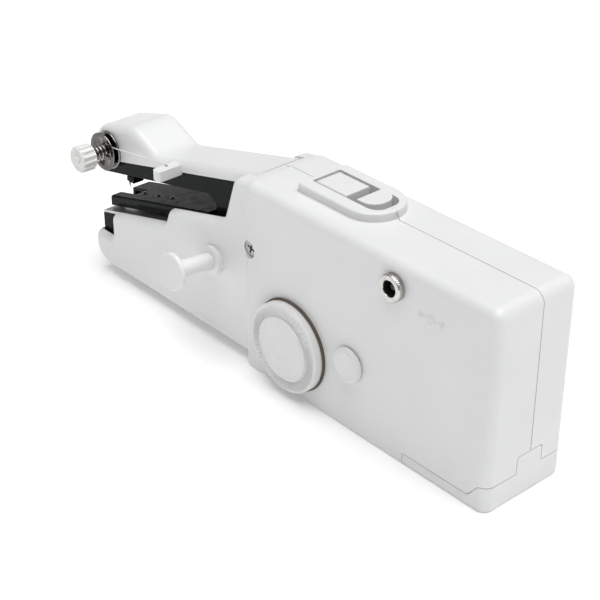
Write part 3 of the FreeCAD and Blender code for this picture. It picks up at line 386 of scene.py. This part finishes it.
SYMBOL_SHIFT = Vector((15.5 * MM, 0.0, -4.4 * MM))
SYMBOL_PITCH = 4.6 * MM
SYMBOL_LINE = 0.28 * MM
SYMBOL_RELIEF = 0.16 * MM
SYMBOL_END_RADIUS = 0.95 * MM
SYMBOL_CORE_RADIUS = 1.4 * MM
SYMBOL_DOT_RADIUS = 0.275 * MM
SYMBOL_BAR = 0.45 * MM                    # half the length of the bars in the end rings
SYMBOL_GAP = 0.1 * MM


def polarity_symbol():
    """A generic raised centre-contact symbol beside the DC socket: ring, line, dot, line, ring."""
    face = front_face("side_shell_near")
    centre = middle("dc_jack") + SYMBOL_SHIFT
    centre.y = face
    maker = bmesh.new()

    def circle(hub, radius, half_width, segments):
        turned_ring(maker, hub, bead_profile(radius, half_width, SYMBOL_RELIEF, face), segments)

    def line(start, end):
        ridge(maker, start, end, SYMBOL_LINE, SYMBOL_RELIEF, TOWARDS_WHEEL_SIDE)

    level, upright = Vector((SYMBOL_BAR, 0.0, 0.0)), Vector((0.0, 0.0, SYMBOL_BAR))
    for side in (-1.0, 1.0):
        hub = centre + Vector((side * SYMBOL_PITCH, 0.0, 0.0))
        circle(hub, SYMBOL_END_RADIUS, SYMBOL_LINE / 2, 36)
        line(hub - level, hub + level)
        inner = centre + Vector((side * (SYMBOL_CORE_RADIUS + SYMBOL_GAP), 0.0, 0.0))
        outer = hub - Vector((side * (SYMBOL_END_RADIUS + SYMBOL_GAP), 0.0, 0.0))
        line(*sorted((inner, outer), key=lambda point: point.x))
    line(hub - upright, hub + upright)
    circle(centre, SYMBOL_CORE_RADIUS, SYMBOL_LINE / 2, 48)
    circle(centre, SYMBOL_DOT_RADIUS, SYMBOL_DOT_RADIUS - 0.01 * MM, 24)
    add_piece("polarity_symbol", maker, "casing", "white_shell")


SEAM_WIDTH = 0.22 * MM
SEAM_STEPS = 60
SEAM_FRONT = -56.2 * MM                   # just behind the front face of the grip
SEAM_CORNER_BACK = 12.0 * MM              # centre of the corner's rays, from the rear face
SEAM_CORNER_DROP = 10.0 * MM              # and from the underside of the power button
SEAM_END_GAP = 0.4 * MM
SEAM_JUMP = 4.0 * MM                      # a longer step is a break, where the bezel rises
RAY_START = 20.0 * MM
CORNER_RAY = 60.0 * MM


def seam_rays():
    """Rays on to the top, over the rear corner and on to the rear face, at the joint plane."""
    _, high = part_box("side_shell_near")
    corner = Vector((high[0] - SEAM_CORNER_BACK, high[1] - 0.05 * MM,
                     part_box("power_button")[0][2] - SEAM_CORNER_DROP))
    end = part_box("battery_cover")[1][2] + SEAM_END_GAP
    rays = []
    for step in range(SEAM_STEPS + 1):
        x = SEAM_FRONT + (corner.x - SEAM_FRONT) * step / SEAM_STEPS
        rays.append((Vector((x, corner.y, high[2] + RAY_START)), Vector((0.0, 0.0, -1.0))))
    for step in range(1, SEAM_STEPS // 2):
        angle = math.pi / 2 * step / (SEAM_STEPS // 2)
        way = Vector((math.sin(angle), 0.0, math.cos(angle)))
        rays.append((corner + way * CORNER_RAY, -way))
    for step in range(SEAM_STEPS // 2 + 1):
        z = corner.z + (end - corner.z) * step / (SEAM_STEPS // 2)
        rays.append((Vector((high[0] + RAY_START, corner.y, z)), Vector((-1.0, 0.0, 0.0))))
    return rays


def seam_points():
    """Points on the shell along its joint line, each with the outward direction there."""
    shell = frame["nodes"]["side_shell_near"]
    joint_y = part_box("side_shell_near")[1][1]
    points = []
    for origin, direction in seam_rays():
        hit, place, normal, _ = shell.ray_cast(origin, direction)
        if hit and normal.dot(-direction) > 0.5:
            outward = Vector((normal.x, 0.0, normal.z)).normalized()
            points.append((Vector((place.x, joint_y, place.z)), outward))
    return points


def case_seam():
    """The fine dark joint line between the two side shells, as a thin raised strip."""
    half = Vector((0.0, SEAM_WIDTH / 2, 0.0))
    maker = bmesh.new()
    rows = []
    for place, outward in seam_points():
        top = place + outward * SURFACE_LIFT
        base = place - outward * SURFACE_LIFT * 2
        outline = (base - half, top - half * 0.8, top + half * 0.8, base + half)
        rows.append([maker.verts.new(point) for point in outline])
    for near, far in zip(rows, rows[1:]):
        if (near[1].co - far[1].co).length <= SEAM_JUMP:
            join_sections(maker, near, far)
    add_piece("case_seam", maker, "casing", "white_shell", SEAM_SHADE)


# ---------------------------------------------------------------- studio

FLOOR_HALF = 30.0
WORLD_LOW, WORLD_HIGH = 0.10, 0.36
OVERHEAD_POWER = 2.75
OVERHEAD_SPREAD = 62.0
OVERHEAD_AIM = (-0.15, -0.05, -1.0)
CAMERA_AT = Vector((0.29384, -0.30001, 0.29365))
CAMERA_BACK = Vector((0.645, -0.567, 0.512))
LENS_MM = 92.2
SENSOR_MM = 36.0


def studio_floor():
    """A wide pale floor with a very slight glow."""
    mesh = bpy.data.meshes.new("studio_floor")
    maker = bmesh.new()
    bmesh.ops.create_grid(maker, x_segments=2, y_segments=2, size=FLOOR_HALF)
    maker.to_mesh(mesh)
    maker.free()
    floor = bpy.data.objects.new("studio_floor", mesh)
    bpy.context.scene.collection.objects.link(floor)
    mat, tree, principled, coords = shader("studio_floor")
    tone = remap(tree, noise(tree, coords, 3.0), 0.0, 1.0)
    tree.links.new(blend_colours(tree, tone, (0.93, 0.93, 0.93), (0.96, 0.96, 0.96)),
                   principled.inputs["Base Color"])
    principled.inputs["Roughness"].default_value = 0.9
    principled.inputs["Specular IOR Level"].default_value = 0.1
    principled.inputs["Emission Color"].default_value = (1.0, 1.0, 1.0, 1.0)
    principled.inputs["Emission Strength"].default_value = 0.14
    mesh.materials.append(mat)


def studio_world():
    """Even light from all round, a little stronger from above."""
    world = bpy.data.worlds.new("studio")
    bpy.context.scene.world = world
    world.use_nodes = True
    tree = world.node_tree
    background = tree.nodes["Background"]
    direction = tree.nodes.new("ShaderNodeTexCoord").outputs["Generated"]
    split = tree.nodes.new("ShaderNodeSeparateXYZ")
    tree.links.new(direction, split.inputs[0])
    tree.links.new(remap(tree, split.outputs["Z"], WORLD_LOW, WORLD_HIGH, 0.1, 0.9),
                   background.inputs["Strength"])
    background.inputs["Color"].default_value = (1.0, 1.0, 1.0, 1.0)


def overhead():
    """A wide soft light above, leaning over the rear of the grip."""
    data = bpy.data.lights.new("overhead", "SUN")
    data.energy = OVERHEAD_POWER
    data.angle = math.radians(OVERHEAD_SPREAD)
    light = bpy.data.objects.new("overhead", data)
    light.rotation_mode = "QUATERNION"
    light.rotation_quaternion = Vector(OVERHEAD_AIM).to_track_quat("-Z", "Y")
    bpy.context.scene.collection.objects.link(light)


def softbox(name, at, aim, size, power):
    """A rectangular area light at a place, turned towards another."""
    data = bpy.data.lights.new(name, "AREA")
    data.shape = "RECTANGLE"
    data.size, data.size_y = size
    data.energy = power
    light = bpy.data.objects.new(name, data)
    light.location = at
    light.rotation_mode = "QUATERNION"
    light.rotation_quaternion = (Vector(aim) - Vector(at)).to_track_quat("-Z", "Y")
    bpy.context.scene.collection.objects.link(light)


def studio_camera():
    """The camera at the photograph's viewing angle."""
    data = bpy.data.cameras.new("camera")
    data.lens = LENS_MM
    data.sensor_width = SENSOR_MM
    data.clip_start = 0.01
    data.clip_end = 100.0
    camera = bpy.data.objects.new("camera", data)
    camera.location = CAMERA_AT
    camera.rotation_mode = "QUATERNION"
    camera.rotation_quaternion = (-CAMERA_BACK).to_track_quat("-Z", "Y")
    bpy.context.scene.collection.objects.link(camera)
    bpy.context.scene.camera = camera


finish_nodes()
wheel_ribs()
wheel_gap_shadow()
winder_rim()
disc_rims()
jack_rim()
polarity_symbol()
case_seam()
studio_floor()
studio_world()
overhead()
softbox("softbox_left", (-0.95, -0.55, 0.3), (-0.08, 0.0, 0.04), (0.8, 0.5), 0.42)
softbox("softbox_right", (0.95, 0.35, 0.45), (0.0, 0.0, 0.03), (0.6, 0.6), 0.3)
studio_camera()
bpy.context.scene.view_settings.view_transform = "Standard"
